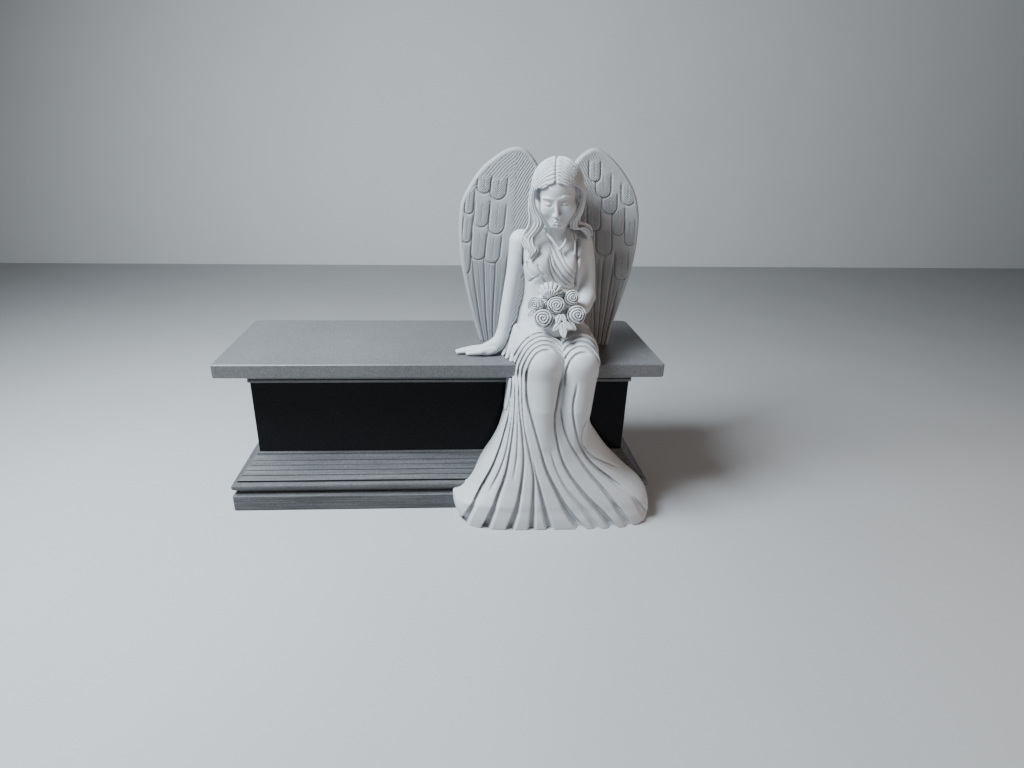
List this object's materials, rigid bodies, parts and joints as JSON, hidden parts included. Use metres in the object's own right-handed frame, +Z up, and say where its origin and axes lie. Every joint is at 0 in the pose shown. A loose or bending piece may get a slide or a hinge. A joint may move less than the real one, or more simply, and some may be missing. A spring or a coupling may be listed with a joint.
{
  "type": "memorial bench with a seated angel",
  "caption": "Granite memorial bench with a moulded base, a polished dark die and a seat slab, and a seated winged figure holding roses whose skirt falls to the ground.",
  "frame": {"origin": "middle of the base stone's underside, on the ground", "axes": "+X along the bench towards the figure's end, -Y out of the front, +Z up"},
  "size_m": [1.2016, 0.5109, 0.9824],
  "materials": {
    "grey_base_granite": "fine-sawn grey granite",
    "polished_black_granite": "mirror-polished black granite",
    "grey_seat_granite": "honed speckled grey granite",
    "pale_carving_stone": "matt hand-carved pale stone"
  },
  "bodies": {
    "root": {"bench_base": "grey_base_granite", "bench_die": "polished_black_granite", "seat_slab": "grey_seat_granite", "angel": "pale_carving_stone"}
  },
  "joints": []
}
